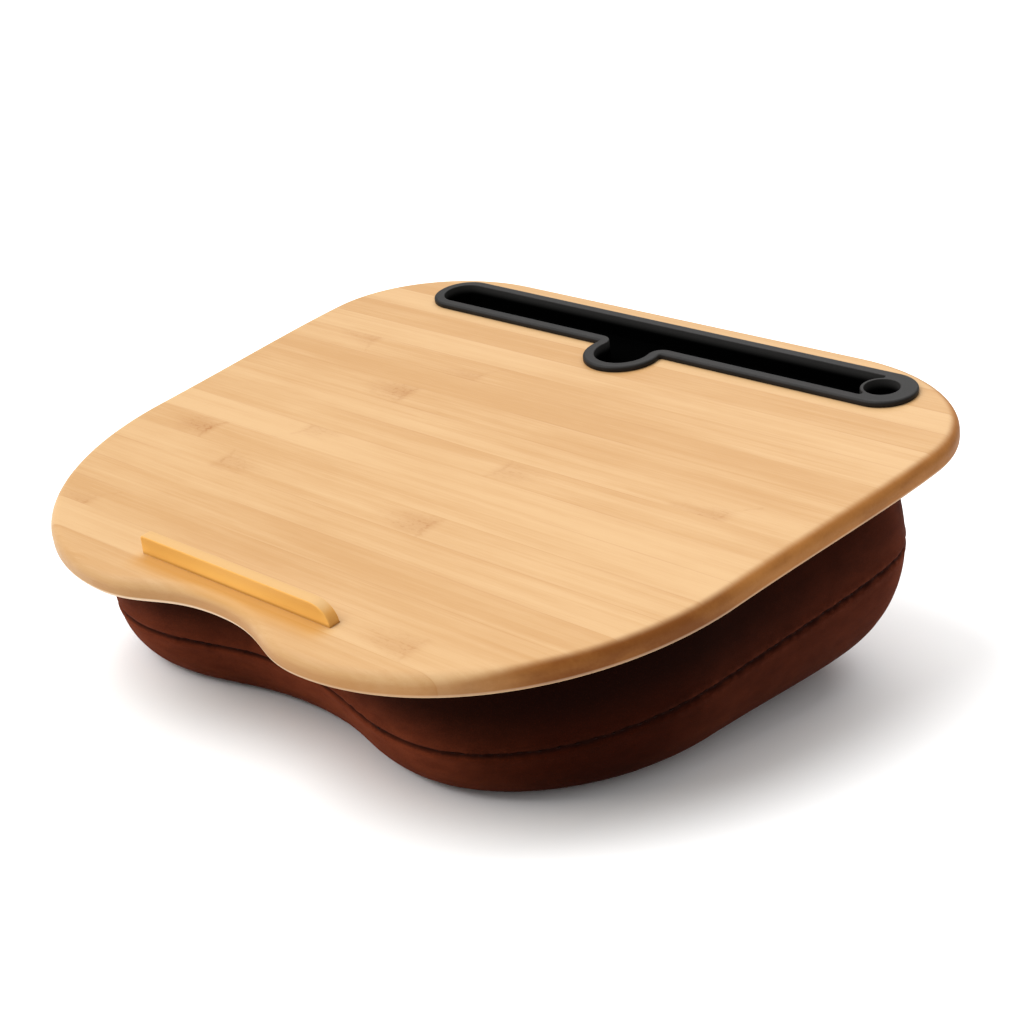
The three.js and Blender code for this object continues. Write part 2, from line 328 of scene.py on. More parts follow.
def cut_end_and_shade_mask(wire, place):
    """How far the surface faces up, and one where a rim or the ledge's nose is brown end grain with painted
    shade.
    """
    x, y, z = split(place)
    normal_x, normal_y, normal_z = split(wire.node("ShaderNodeNewGeometry", output="Normal"))
    up = normal_z * math.cos(TILT) - normal_y * math.sin(TILT)
    turn = wire.calc("ARCCOSINE", up)
    side = y.fade(-0.185, -0.135)
    rim = (turn - 0.95 * (1 - side)).fade(0.0, 0.8) * (1 - turn.fade(1.9, 2.5))
    # Painted shade: the brown fades out towards the left, where the rim faces the light.
    rim = rim * (0.55 + side * 0.45) * x.fade(-0.15, -0.01)
    above = z.fade(0.0005, 0.002)
    # Faces of the ledge turned to the right are brown end grain with painted shade.
    return up, rim * (1 - above) + normal_x.fade(0.25, 0.9) * above * 0.5


def cut_end_and_shade_tone(wire, place, fibre, rim_brown_and_shade, lobe_brown_and_shade):
    """Brown of the cut ends in patches, with painted shade darkest round the right front lobe."""
    x, y, z = split(place)
    patchy = noise(joined(wire, x * 16.0, y * 34.0, z * 90.0), detail=3.0) * 1.5 + fibre * 0.3 - 0.9
    off_x, off_y = x - DARKEST_RIM_LOBE[0], y - DARKEST_RIM_LOBE[1]
    lobe = wire.calc("SQRT", off_x * off_x + off_y * off_y)
    return tinted(rim_brown_and_shade, lobe_brown_and_shade, 0.95 - lobe.fade(0.03, 0.1) * 0.85 + patchy)


def lower_edge_highlight(place):
    """One along the painted highlight of floor light at the foot of the rim, weaker towards the right."""
    x, _, z = split(place)
    depth = -z
    line = depth.fade(0.0090, 0.0100) * (1 - depth.fade(0.01185, 0.01195))
    return line * (0.8 - x.fade(0.02, 0.1) * 0.55)


def ledge_shade_band(place):
    """One on the board close in front of the stop ledge, for its painted shade and bounced light."""
    x, y, z = split(place)
    half = LEDGE_LENGTH / 2000
    beside = 1 - abs(x - LEDGE_X / 1000).fade(half - 0.008, half + 0.006)
    ahead = y - LEDGE_Y / 1000
    close = ahead.fade(-0.017, -0.001) * (1 - ahead.fade(-0.0004, 0.0004))
    return beside * close * z.fade(-0.006, -0.001)


print("ledge from", LEDGE_X - LEDGE_LENGTH / 2, "to", LEDGE_X + LEDGE_LENGTH / 2, "mm")


# %% Bamboo finish
def bamboo_finish(name, light, dark, ring, rim_brown_and_shade, lobe_brown_and_shade, crown, rings):
    """Lacquered bamboo: light and dark staves, marks in the ring's brown, brown rims with painted shade."""
    material, shader, wire = new_finish(name)
    place = board_place(wire)
    stave, within = stave_rows(place)
    shade, fibre = stave_tone(wire, place, stave)
    smudge, dots = growth_rings(wire, place, stave, rings)
    pores, flecks, joint = fine_marks(wire, place, stave, within)
    colour = tinted(light, dark, shade)
    colour = tinted(colour, ring, pores * 0.12 + joint * 0.24)
    colour = tinted(colour, light, flecks * 0.35)
    colour = tinted(colour, ring, smudge * 0.34 + dots * 0.34)
    up, rim = cut_end_and_shade_mask(wire, place)
    # Brown cut ends on the rims, with painted shade where they turn from the light.
    colour = tinted(colour, cut_end_and_shade_tone(wire, place, fibre, rim_brown_and_shade, lobe_brown_and_shade), rim)
    # Painted highlight: a pale line of floor light along the foot of the rim.
    colour = tinted(colour, srgb(218, 192, 163), lower_edge_highlight(place))
    z = split(place)[2]
    colour = tinted(colour, ring, z.fade(0.001, 0.009) * 0.45)
    # On the ledge, faces that look up take the unshaded crown colour, while its sides keep the painted
    # shade.
    colour = tinted(colour, crown, up.fade(0.6, 0.95) * z.fade(0.002, 0.008))
    # Painted shade and bounced light: a golden band on the board in front of the ledge.
    tinted(colour, srgb(183, 129, 48), ledge_shade_band(place) * 0.65).feed(shader, "Base Color")
    (0.46 + (fibre - 0.5) * 0.16 + pores * 0.08 + rim * 0.1).feed(shader, "Roughness")
    bumped(fibre * 0.6 - pores * 0.5 - joint * 0.5, shader, 0.12, 0.0004)
    (0.04 - rim * 0.03).feed(shader, "Coat Weight")
    shader.inputs["Specular IOR Level"].default_value = 0.1
    shader.inputs["Coat Roughness"].default_value = 0.3
    return material


bamboo = bamboo_finish(
    "lacquered_bamboo", light=srgb(182, 148, 106), dark=srgb(168, 129, 84), ring=srgb(142, 94, 48),
    rim_brown_and_shade=srgb(150, 98, 46), lobe_brown_and_shade=srgb(107, 60, 19), crown=srgb(182, 148, 106), rings=RINGS,
)
# The ledge's finish is a shaded copy of the board's bamboo: its golden sides are painted shade with light
# bounced from the board.
shaded_ledge_bamboo = bamboo_finish(
    "shaded_ledge_bamboo", light=srgb(236, 182, 96), dark=srgb(224, 165, 79), ring=srgb(167, 109, 50),
    rim_brown_and_shade=srgb(160, 105, 50), lobe_brown_and_shade=srgb(141, 88, 37), crown=srgb(184, 146, 95), rings=(),
)
print("bamboo finishes", bamboo.name, shaded_ledge_bamboo.name)

# %% [markdown]
# The board's plan has a straight back, long round back corners, sides that draw in a little and
# two front lobes with a hollow for the belly between them. It could be drawn as a curve object,
# but plain points can be inset and stacked into a rounded rim, which is what a router does.


# %% Plan of the board and cushion
def bezier(a, b, c, d, steps):
    t = np.linspace(0, 1, steps, endpoint=False)[:, None]
    a, b, c, d = (np.array(p, float) for p in (a, b, c, d))
    return (1 - t) ** 3 * a + 3 * (1 - t) ** 2 * t * b + 3 * (1 - t) * t**2 * c + t**3 * d


def evenly(loop, count):
    """Points at even steps along a closed loop."""
    closed = np.vstack([loop, loop[:1]])
    run = np.concatenate([[0], np.cumsum(np.linalg.norm(np.diff(closed, axis=0), axis=1))])
    marks = np.linspace(0, run[-1], count, endpoint=False)
    return np.stack([np.interp(marks, run, closed[:, k]) for k in range(2)], axis=1)


def desk_plan(notch, lobe, count):
    """Closed loop, seen from above against the clock, from the middle of the back."""
    round_off = 4 / 3 * (math.sqrt(2) - 1)
    run, rise, waist, front = 96.0, 82.0, 11.5, 147.0
    corner_x, corner_y = HALF_W - run, HALF_D - rise
    waist_x, waist_y = HALF_W - waist, front - HALF_D
    fall = corner_y - waist_y
    steps = 60
    straight = np.stack([np.linspace(0, corner_x, steps, endpoint=False), np.full(steps, HALF_D)], axis=1)
    back = bezier(
        (corner_x, HALF_D), (corner_x + round_off * run, HALF_D),
        (HALF_W, corner_y + round_off * rise), (HALF_W, corner_y), steps,
    )
    side = bezier(
        (HALF_W, corner_y), (HALF_W, corner_y - fall * 0.26),
        (waist_x + waist * 0.32, waist_y + fall * 0.38), (waist_x, waist_y), steps,
    )
    swell = bezier(
        (waist_x, waist_y), (waist_x - waist * 0.5, waist_y - front * 0.56),
        (lobe + (waist_x - lobe) * 0.53, -HALF_D), (lobe, -HALF_D), steps,
    )
    hollow = bezier(
        (lobe, -HALF_D), (lobe * 0.6, -HALF_D), (lobe * 0.52, notch - HALF_D), (0, notch - HALF_D), steps,
    )
    right = np.vstack([straight, back, side, swell, hollow, [[0, notch - HALF_D]]])
    left = right[-2:0:-1] * np.array([-1, 1])
    return evenly(np.vstack([right, left])[::-1], count)


def inset(loop, distance):
    """Loop with each point moved inward by a distance."""
    along = np.roll(loop, -1, axis=0) - np.roll(loop, 1, axis=0)
    inward = np.stack([-along[:, 1], along[:, 0]], axis=1)
    return loop + distance * inward / np.linalg.norm(inward, axis=1)[:, None]


BELLY_NOTCH = 15.5
LOBE_X = 72.0
board_plan = desk_plan(BELLY_NOTCH, LOBE_X, 440)
print("board plan", len(board_plan), "points")

# %% [markdown]
# The tray is a long slot with round ends. Fingers reach in through a round notch in its near side,
# and its trough stops at the ring of a pen well. Curves with handles would need many of them, while
# arcs that meet in fillets can be moved in or out by one distance, for the lip as for the trough.

# %% Plan of the tray
TRAY_X = 5.0
TRAY_Y = 158.05
TRAY_END = 19.45
TRAY_STRAIGHT = 153.05
TRAY_LIP = 4.2
TRAY_WALL = 2.3
NOTCH_X = 1.0 - TRAY_X
NOTCH_RADIUS = 23.0
NOTCH_DROP = 6.4
NOTCH_FILLET = 1.5
PEN_RADIUS = 9.7
PEN_RING = 11.7
PEN_FILLET = 1.6


def arc(x, y, radius, start, end, steps):
    turn = np.linspace(start, end, steps)
    return np.stack([x + radius * np.cos(turn), y + radius * np.sin(turn)], axis=1)


def front_run(distance):
    """Front side of the tray, drawn in by a distance, with its finger notch."""
    fillet_y = -TRAY_END - NOTCH_FILLET
    notch_y = -TRAY_END - NOTCH_DROP
    reach = NOTCH_RADIUS + NOTCH_FILLET
    fillet_x = math.sqrt(reach**2 - (notch_y - fillet_y) ** 2)
    lean = math.atan2(notch_y - fillet_y, fillet_x)
    fillet = NOTCH_FILLET + distance
    return np.vstack([
        arc(NOTCH_X - fillet_x, fillet_y, fillet, math.pi / 2, lean, 10),
        arc(NOTCH_X, notch_y, NOTCH_RADIUS - distance, math.pi + lean, 2 * math.pi - lean, 48)[1:-1],
        arc(NOTCH_X + fillet_x, fillet_y, fillet, math.pi - lean, math.pi / 2, 10),
    ])


def tray_plan(distance):
    end = TRAY_END - distance
    right = arc(TRAY_STRAIGHT, 0, end, -math.pi / 2, math.pi / 2, 36)
    left = arc(-TRAY_STRAIGHT, 0, end, math.pi / 2, math.pi * 1.5, 36)
    return np.vstack([front_run(distance), right, left]) + np.array([TRAY_X, TRAY_Y])


def trough_plan(distance):
    """Inside of the trough, whose right end follows the ring of the pen well."""
    wall = TRAY_END - TRAY_LIP - TRAY_WALL
    fillet = PEN_FILLET - distance
    back_off = math.sqrt((PEN_RING + PEN_FILLET) ** 2 - (wall - PEN_FILLET) ** 2)
    centre_x = TRAY_STRAIGHT - back_off
    lean = math.atan2(wall - PEN_FILLET, back_off)
    left = arc(-TRAY_STRAIGHT, 0, wall - distance, math.pi / 2, math.pi * 1.5, 36)
    return np.vstack([
        front_run(TRAY_LIP + TRAY_WALL + distance),
        arc(centre_x, -wall + PEN_FILLET, fillet, -math.pi / 2, lean, 12),
        arc(TRAY_STRAIGHT, 0, PEN_RING + distance, math.pi + lean, math.pi - lean, 26)[1:-1],
        arc(centre_x, wall - PEN_FILLET, fillet, -lean, math.pi / 2, 12),
        left,
    ]) + np.array([TRAY_X, TRAY_Y])


print("tray plan", len(tray_plan(0.0)), "points, trough plan", len(trough_plan(0.0)), "points")

# %% [markdown]
# Board, tray and ledge are all made in one way: a plan is stacked at several heights, walls join
# the rows, and flat faces close them. Booleans would be shorter to write, but stacked rows keep
# clean edges and let each edge be rounded as the tool or the mould leaves it.


# %% Stacking plans into solids
def walls(bm, rows):
    """Smooth faces between rows of vertices that each close on themselves."""
    for low, high in zip(rows, rows[1:]):
        for i in range(len(low)):
            k = (i + 1) % len(low)
            bm.faces.new((low[i], low[k], high[k], high[i])).smooth = True


def loft(bm, rings):
    """Rows of vertices for rings of (plan, height), with walls between them."""
    rows = [[bm.verts.new(leaning(x, y, z)) for x, y in plan] for plan, z in rings]
    walls(bm, rows)
    return rows


def cover(bm, *loops):
    """Flat faces inside the first loop and outside the others."""
    edges = [bm.edges.get((a, b)) for loop in loops for a, b in zip(loop, loop[1:] + loop[:1])]
    bmesh.ops.triangle_fill(bm, edges=edges, use_beauty=True, use_dissolve=False)


def placed(mesh, name, body, nodes):
    """Object of a mesh, carried by a body and standing for its nodes."""
    piece = bpy.data.objects.new(name, mesh)
    bpy.context.scene.collection.objects.link(piece)
    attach(piece, body)
    if nodes:
        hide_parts(*nodes)
    print(name, len(mesh.polygons), "faces")
    return piece


def finished(bm, name, finish, body, nodes):
    """Placed object of a bmesh, which is freed."""
    bmesh.ops.recalc_face_normals(bm, faces=bm.faces[:])
    mesh = bpy.data.meshes.new(name)
    bm.to_mesh(mesh)
    bm.free()
    mesh.materials.append(finish)
    return placed(mesh, name, body, nodes)


def rounded(plan, round_off, z_top, steps):
    """Rings of a quarter round from the flat top of a plan down to its side."""
    rings = []
    for turn in np.linspace(0, math.pi / 2, steps):
        height = z_top - round_off * (1 - math.cos(turn))
        rings.append((inset(plan, round_off * (1 - math.sin(turn))), height))
    return rings


print("stacking helpers ready")

# %% [markdown]
# The board itself is one lacquered plate: the staves are glued and sanded flush, so only their
# tone shows. Its top rim is routed to a full quarter round, its lower rim is only eased. A Bevel
# modifier would round the tray's opening too, so the rim is stacked ring by ring instead.

# %% Bamboo board
RIM_ROUND = 6.0
RIM_EASE = 2.8
LEDGE_THICKNESS = 6.5
SCREW_XS = (LEDGE_X - 42.0, LEDGE_X + 42.0)
SCREW_Y = LEDGE_Y + LEDGE_THICKNESS / 2
BORE_RADIUS = 1.7
SINK_RADIUS = 3.3
SINK_DEPTH = 2.5
OPENING = TRAY_LIP - 0.4
stave_nodes = sorted(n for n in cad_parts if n.startswith("stave_"))
bm = bmesh.new()
rim = [(inset(board_plan, RIM_ROUND + 0.8), 0.0)] + rounded(board_plan, RIM_ROUND, 0.0, 11)
for turn in np.linspace(0, math.pi / 2, 7):
    height = RIM_EASE * (1 - math.sin(turn)) - BOARD_THICKNESS
    rim.append((inset(board_plan, RIM_EASE * (1 - math.cos(turn))), height))
rim_rows = loft(bm, rim)
foot = -BOARD_THICKNESS
opening = [(tray_plan(OPENING - 0.4), 0.0), (tray_plan(OPENING), -0.4)]
opening += [(tray_plan(OPENING), foot + 0.3), (tray_plan(OPENING - 0.3), foot)]
opening_rows = loft(bm, opening)
tops = [rim_rows[0], opening_rows[0]]
feet = [rim_rows[-1], opening_rows[-1]]
bores = [(BORE_RADIUS, 0.0), (BORE_RADIUS, foot + SINK_DEPTH)]
bores += [(SINK_RADIUS, foot + 0.01), (SINK_RADIUS, foot)]
for screw_x in SCREW_XS:
    rows = loft(bm, [(arc(screw_x, SCREW_Y, r, 0, 2 * math.pi, 25)[:-1], z) for r, z in bores])
    tops.append(rows[0])
    feet.append(rows[-1])
cover(bm, *tops)
cover(bm, *feet)
finished(bm, "bamboo_board", bamboo, "desk", stave_nodes)

# %% [markdown]
# A small stop ledge keeps the laptop from sliding down. It is a strip of the same bamboo, square
# at its left end, with a nose that runs down to the board at its right end. Its outline is drawn
# from the front and given thickness, with its long edges eased by sandpaper.

# %% Stop ledge
LEDGE_HEIGHT = 10.5
LEDGE_LEFT = LEDGE_X - LEDGE_LENGTH / 2
LEDGE_EASE = 0.9
LEDGE_GAP = 0.1
NOSE_START = LEDGE_LENGTH - 13
SHOULDER = 2.2
nose = bezier(
    (LEDGE_LENGTH, LEDGE_GAP), (LEDGE_LENGTH, LEDGE_HEIGHT * 0.55), (LEDGE_LENGTH - 5.8, LEDGE_HEIGHT),
    (NOSE_START, LEDGE_HEIGHT), 22,
)
shoulder = arc(SHOULDER, LEDGE_HEIGHT - SHOULDER, SHOULDER, math.pi / 2, math.pi, 8)
ledge_side = np.vstack([nose, [[NOSE_START, LEDGE_HEIGHT]], shoulder, [[0, LEDGE_GAP]]])
bm = bmesh.new()
ledge_rows = []
for turn in np.linspace(0, math.pi, 9):
    eased = inset(ledge_side, LEDGE_EASE * (1 - math.sin(turn)))
    eased[:, 1] = np.where(ledge_side[:, 1] < 2 * LEDGE_GAP, LEDGE_GAP, eased[:, 1])
    ahead = LEDGE_EASE * (1 - math.cos(turn))
    if turn > math.pi / 2 + 0.01:
        ahead += LEDGE_THICKNESS - 2 * LEDGE_EASE
    ledge_rows.append([bm.verts.new(leaning(LEDGE_LEFT + x, LEDGE_Y + ahead, z)) for x, z in eased])
walls(bm, ledge_rows)
cover(bm, ledge_rows[0])
cover(bm, ledge_rows[-1])
finished(bm, "stop_ledge_strip", shaded_ledge_bamboo, "desk", ["stop_ledge"])

# %% [markdown]
# Two countersunk screws come up through the board and hold the ledge. Both are alike, so one screw
# is drawn in a tree of Geometry Nodes and set on two points. The tree's sizes have names, and it
# ends as a plain mesh, so nothing of it stays live.


# %% Trees of Geometry Nodes
def new_tree(name, sizes):
    """Tree with a geometry and named sizes as inputs, and a wire from each."""
    tree = bpy.data.node_groups.new(name, "GeometryNodeTree")
    tree.interface.new_socket("Geometry", in_out="OUTPUT", socket_type="NodeSocketGeometry")
    tree.interface.new_socket("Geometry", in_out="INPUT", socket_type="NodeSocketGeometry")
    for size in sizes:
        tree.interface.new_socket(size, in_out="INPUT", socket_type="NodeSocketFloat")
    start = tree.nodes.new("NodeGroupInput")
    return tree, {socket.name: Wire(tree, socket) for socket in start.outputs if socket.name}


def end_tree(shape, finish):
    """Last nodes of a tree: real meshes instead of instances, with their finish."""
    real = shape.node("GeometryNodeRealizeInstances", inputs={0: shape})
    painted = shape.node("GeometryNodeSetMaterial", inputs={"Geometry": real, "Material": finish})
    painted.feed(shape.tree.nodes.new("NodeGroupOutput"), 0)


def grown(tree, points, edges, sizes):
    """Plain mesh that a tree makes of points and edges."""
    mesh = bpy.data.meshes.new(tree.name)
    mesh.from_pydata(points, edges, [])
    holder = bpy.data.objects.new("holder", mesh)
    modifier = holder.modifiers.new("tree", "NODES")
    modifier.node_group = tree
    for socket in tree.interface.items_tree:
        if socket.in_out == "INPUT" and socket.name in sizes:
            modifier[socket.identifier] = sizes[socket.name]
    bpy.context.scene.collection.objects.link(holder)
    made = bpy.data.meshes.new_from_object(holder.evaluated_get(bpy.context.evaluated_depsgraph_get()))
    holder.modifiers.remove(modifier)
    bpy.data.objects.remove(holder)
    return made


def shifted(shape, z, turn=0.0):
    up = joined(shape, 0.0, 0.0, z)
    inputs = {"Geometry": shape, "Translation": up, "Rotation": (0.0, 0.0, turn)}
    return shape.node("GeometryNodeTransform", inputs=inputs)


print("tree helpers ready")

# %% [markdown]
# The screws are steel with a thin coat of zinc, which sets in small spangles and is scratched by
# the driver. Plain grey would look like paint, so the shader is fully metallic, and noise varies
# its tone and gloss.

# %% Steel finish
steel, shader, wire = new_finish("zinc_plated_steel")
place = board_place(wire)
spangle = noise(place, scale=900.0, detail=3.0)
scratch = noise(stretched(place, 300.0, 2600.0, 300.0), detail=2.0)
tinted(srgb(158, 160, 162), srgb(184, 186, 188), spangle.fade(0.35, 0.65)).feed(shader, "Base Color")
(0.34 + (spangle - 0.5) * 0.2 + (scratch - 0.5) * 0.15).feed(shader, "Roughness")
bumped(spangle * 0.4 + scratch * 0.3, shader, 0.15, 0.0001)
shader.inputs["Metallic"].default_value = 1.0
print("steel finish", steel.name)

# %% Head of a ledge screw
screw_sizes = {
    "Head radius": 0.003, "Head height": 0.0022, "Shank radius": 0.0014, "Length": 0.019, "Tip": 0.002,
    "Slot length": 0.0034, "Slot width": 0.0007, "Slot depth": 0.0011,
}
tree, size = new_tree("ledge_screws", screw_sizes)
points = size["Geometry"]
head_inputs = {
    "Vertices": 24, "Radius Top": size["Shank radius"], "Radius Bottom": size["Head radius"],
    "Depth": size["Head height"],
}
head = points.node("GeometryNodeMeshCone", inputs=head_inputs)
bar_size = joined(points, size["Slot length"], size["Slot width"], size["Slot depth"] * 2.0)
bar = points.node("GeometryNodeMeshCube", inputs={"Size": bar_size})
cut = {"operation": "DIFFERENCE", "solver": "EXACT"}
head = points.node("GeometryNodeMeshBoolean", cut, {0: head, 1: bar})
head = points.node("GeometryNodeMeshBoolean", cut, {0: head, 1: shifted(bar, 0.0, math.pi / 2)})
print("screw head", screw_sizes["Head radius"] * 2000, "mm across, with a cross slot")

# %% Shanks and places of the ledge screws
straight = size["Length"] - size["Tip"] - size["Head height"]
shank_inputs = {"Vertices": 12, "Radius": size["Shank radius"], "Depth": straight}
shank = points.node("GeometryNodeMeshCylinder", inputs=shank_inputs)
shank = shifted(shank, size["Head height"] + straight / 2.0)
tip_inputs = {
    "Vertices": 12, "Radius Top": 0.0002, "Radius Bottom": size["Shank radius"], "Depth": size["Tip"],
}
tip = shifted(points.node("GeometryNodeMeshCone", inputs=tip_inputs), size["Length"] - size["Tip"])
whole = points.node("GeometryNodeJoinGeometry", inputs={0: head})
for part in (shank, tip):
    part.feed(whole.socket.node, 0)
set_on = {"Points": points, "Instance": whole, "Rotation": (TILT, 0.0, 0.0)}
end_tree(points.node("GeometryNodeInstanceOnPoints", inputs=set_on), steel)
screw_feet = [leaning(x, SCREW_Y, -BOARD_THICKNESS) for x in SCREW_XS]
screw_mesh = grown(tree, screw_feet, [], screw_sizes)
screw_mesh.set_sharp_from_angle(angle=math.radians(35))
placed(screw_mesh, "ledge_screw_pair", "desk", ["ledge_screw_1", "ledge_screw_2"])

# %% [markdown]
# The tray is moulded in matt black plastic, with the faint grain of a spark-eroded mould and a
# slightly smoother top where hands rub it. One noise drives the grain, a broader one the gloss.
# Inside, the grain is coarser, and below the lip the black is painted nearly black as the shade of
# the deep trough.

# %% Black plastic finish
plastic, shader, wire = new_finish("matt_black_plastic")
place = board_place(wire)
grain = noise(place, scale=1900.0, detail=2.0)
smudge = noise(place, scale=38.0, detail=3.0)
colour = tinted(srgb(29, 28, 27), srgb(37, 35, 34), smudge.fade(0.3, 0.7))
tinted(colour, srgb(52, 50, 48), grain.fade(0.62, 0.8) * 0.5).feed(shader, "Base Color")
(0.45 + (smudge - 0.5) * 0.18 + (grain - 0.5) * 0.12).feed(shader, "Roughness")
bumped(grain, shader, 0.22, 0.00012)
shader.inputs["Specular IOR Level"].default_value = 0.08
print("plastic finish", plastic.name)

# %% Coarse finish with painted shade inside the trough
shaded_trough_plastic, shader, wire = new_finish("shaded_coarse_black_plastic")
place = board_place(wire)
grain = noise(place, scale=1300.0, detail=3.0, roughness=0.65)
# Painted shade: the trough's inside is near black, lightening to the lip's grey near the top.
colour = tinted(srgb(1, 1, 1), srgb(3, 3, 3), grain.fade(0.3, 0.75))
near_lip = split(place)[2].fade(-0.003, 0.002)
tinted(colour, srgb(46, 45, 44), near_lip).feed(shader, "Base Color")
(0.9 + (grain - 0.5) * 0.2).feed(shader, "Roughness")
bumped(grain, shader, 0.4, 0.0002)
shader.inputs["Specular IOR Level"].default_value = 0.0
print("trough finish", shaded_trough_plastic.name)

# %% [markdown]
# The tray insert hangs in its opening by a lip. Inside are a long trough with a finger notch in
# its near side and a round pen well in its right end. A boolean would leave ragged edges, so the
# lip, the trough and the well are stacked from their plans and only the flat top is filled in.

# %% Tray insert
LIP_TOP = 3.3
LIP_FOOT = 0.12
LIP_ROUND_IN = 1.8
LIP_ROUND_DOWN = 1.2
FOOT_EASE = 0.6
TRAY_BOTTOM = -11.7
TROUGH_FLOOR = -10.2


def edge_and_foot(plan, edge, edge_steps, draft, foot, foot_steps):
    """Rings of a hollow with a rounded top edge and foot, and a wall that draws in by a draft."""
    rings = []
    for turn in np.linspace(0, math.pi / 2, edge_steps):
        rings.append((plan(-edge * (1 - math.sin(turn))), LIP_TOP - edge * (1 - math.cos(turn))))
    for turn in np.linspace(0, math.pi / 2, foot_steps):
        height = TROUGH_FLOOR + foot * (1 - math.sin(turn))
        rings.append((plan(draft + foot * (1 - math.cos(turn))), height))
    return rings


def well_plan(distance):
    pen_x = TRAY_X + TRAY_STRAIGHT
    return arc(pen_x, TRAY_Y, PEN_RADIUS - distance, 0, 2 * math.pi, 57)[:-1]


bm = bmesh.new()
outside = [(tray_plan(TRAY_LIP + FOOT_EASE), TRAY_BOTTOM), (tray_plan(TRAY_LIP), TRAY_BOTTOM + FOOT_EASE)]
outside += [(tray_plan(TRAY_LIP), LIP_FOOT), (tray_plan(0.3), LIP_FOOT), (tray_plan(0.0), 0.4)]
for turn in np.linspace(math.pi / 2, 0, 7):
    height = LIP_TOP - LIP_ROUND_DOWN * (1 - math.cos(turn))
    outside.append((tray_plan(LIP_ROUND_IN * (1 - math.sin(turn))), height))
outside_rows = loft(bm, outside)
trough = edge_and_foot(trough_plan, edge=0.6, edge_steps=6, draft=0.3, foot=0.9, foot_steps=5)
well = edge_and_foot(well_plan, edge=0.5, edge_steps=5, draft=0.2, foot=0.8, foot_steps=4)
inside_rows = loft(bm, trough)
well_rows = loft(bm, well)
cover(bm, outside_rows[0])
cover(bm, outside_rows[-1], inside_rows[0], well_rows[0])
cover(bm, inside_rows[-1])
cover(bm, well_rows[-1])
# Faces deep in the trough and well, and the tray's hidden foot, take the finish with painted shade.
deep_faces = {vert for row in inside_rows[5:] + well_rows[4:] + outside_rows[:4] for vert in row}
for face in bm.faces:
    face.material_index = int(all(vert in deep_faces for vert in face.verts))
tray = finished(bm, "tray_moulding", plastic, "tray", ["tray_insert"])
tray.data.materials.append(shaded_trough_plastic)

# %% [markdown]
# The cushion cover is brushed suede: a short nap whose brown lies lighter or darker in soft
# patches, dull from the front and a little bright at a glancing view. The sheen of the shader
# gives the glancing light and noise gives the patches. The seam is painted darker, as shade in its
# groove. The faces turned to the right and the upper half under the board are painted a deeper
# brown, as painted shade.

# %% Suede finish
SEAM_Z = -59.5
suede, shader, wire = new_finish("brown_suede")
place = board_place(wire)
y, z = split(place)[1:]
patch = noise(stretched(place, 14.0, 14.0, 22.0), detail=3.0, roughness=0.55)
brushed = noise(stretched(place, 70.0, 70.0, 150.0), detail=3.0, roughness=0.6)
nap = noise(place, scale=1500.0, detail=2.0, roughness=0.7)
shade = (patch - 0.5) * 0.9 + (brushed - 0.5) * 0.7 + (nap - 0.5) * 0.8 + 0.5
colour = tinted(srgb(77, 30, 14), srgb(109, 51, 29), shade.fade(0.0, 1.0))
# Painted shade: faces turned to the right, away from the light, get a deeper brown.
normal_x, normal_y = split(wire.node("ShaderNodeNewGeometry", output="Normal"))[:2]
away_from_light_shade = (normal_x * 0.74 + normal_y * 0.1).fade(-0.25, 0.55) * (1 - normal_y.fade(-0.3, 0.3) * 0.8)
colour = tinted(colour, tinted(srgb(28, 5, 0), srgb(45, 11, 2), shade.fade(0.0, 1.0)), away_from_light_shade)
# Painted shade: above the seam, under the board, the brown is deeper, less so towards the back.
under_board_shade = (z - SEAM_Z / 1000).fade(-0.004, 0.026) * (1 - y.fade(-0.06, 0.08) * 0.6)
colour = tinted(colour, srgb(14, 2, 0), under_board_shade * 0.88)
# Painted shade along the seam groove.
seam_shade = 1 - abs(z - SEAM_Z / 1000).fade(0.0003, 0.0022)
tinted(colour, srgb(18, 4, 2), seam_shade * 0.8).feed(shader, "Base Color")
(0.9 + (nap - 0.5) * 0.12).feed(shader, "Roughness")
bumped(nap * 0.7 + brushed * 0.5, shader, 0.35, 0.0006)
shader.inputs["Specular IOR Level"].default_value = 0.04
shader.inputs["Sheen Weight"].default_value = 0.02
shader.inputs["Sheen Roughness"].default_value = 0.5
shader.inputs["Sheen Tint"].default_value = srgb(141, 78, 54)
print("suede finish", suede.name)

# %% [markdown]
# The cushion is a wedge of loose filling in a two-part cover, sewn together round its middle. Its
# plan is the board's, drawn in and with softer lobes. A lofted wedge would look like wood, so the
# wedge is only a start: it is blown up as cloth under pressure, while the faces that the board and
# the floor press on are held still.

# %% Cushion wedge
CUSHION_TOP = -15.4
CUSHION_SIDE = 17.0
CUSHION_FRONT = 36.0
CUSHION_BACK = 38.0
CUSHION_NOTCH = 19.0
CUSHION_LOBE_X = 104.0
TUCK_ABOVE = 12.0
TUCK_BELOW = 0.8
OVERSIZE = 0.4
cushion_plan = desk_plan(CUSHION_NOTCH, CUSHION_LOBE_X, 300)


def floor_z(y):
    """Height of the floor in the flat board's coordinates."""
    return -(BOARD_CENTRE[2] + y * math.sin(TILT)) / math.cos(TILT)


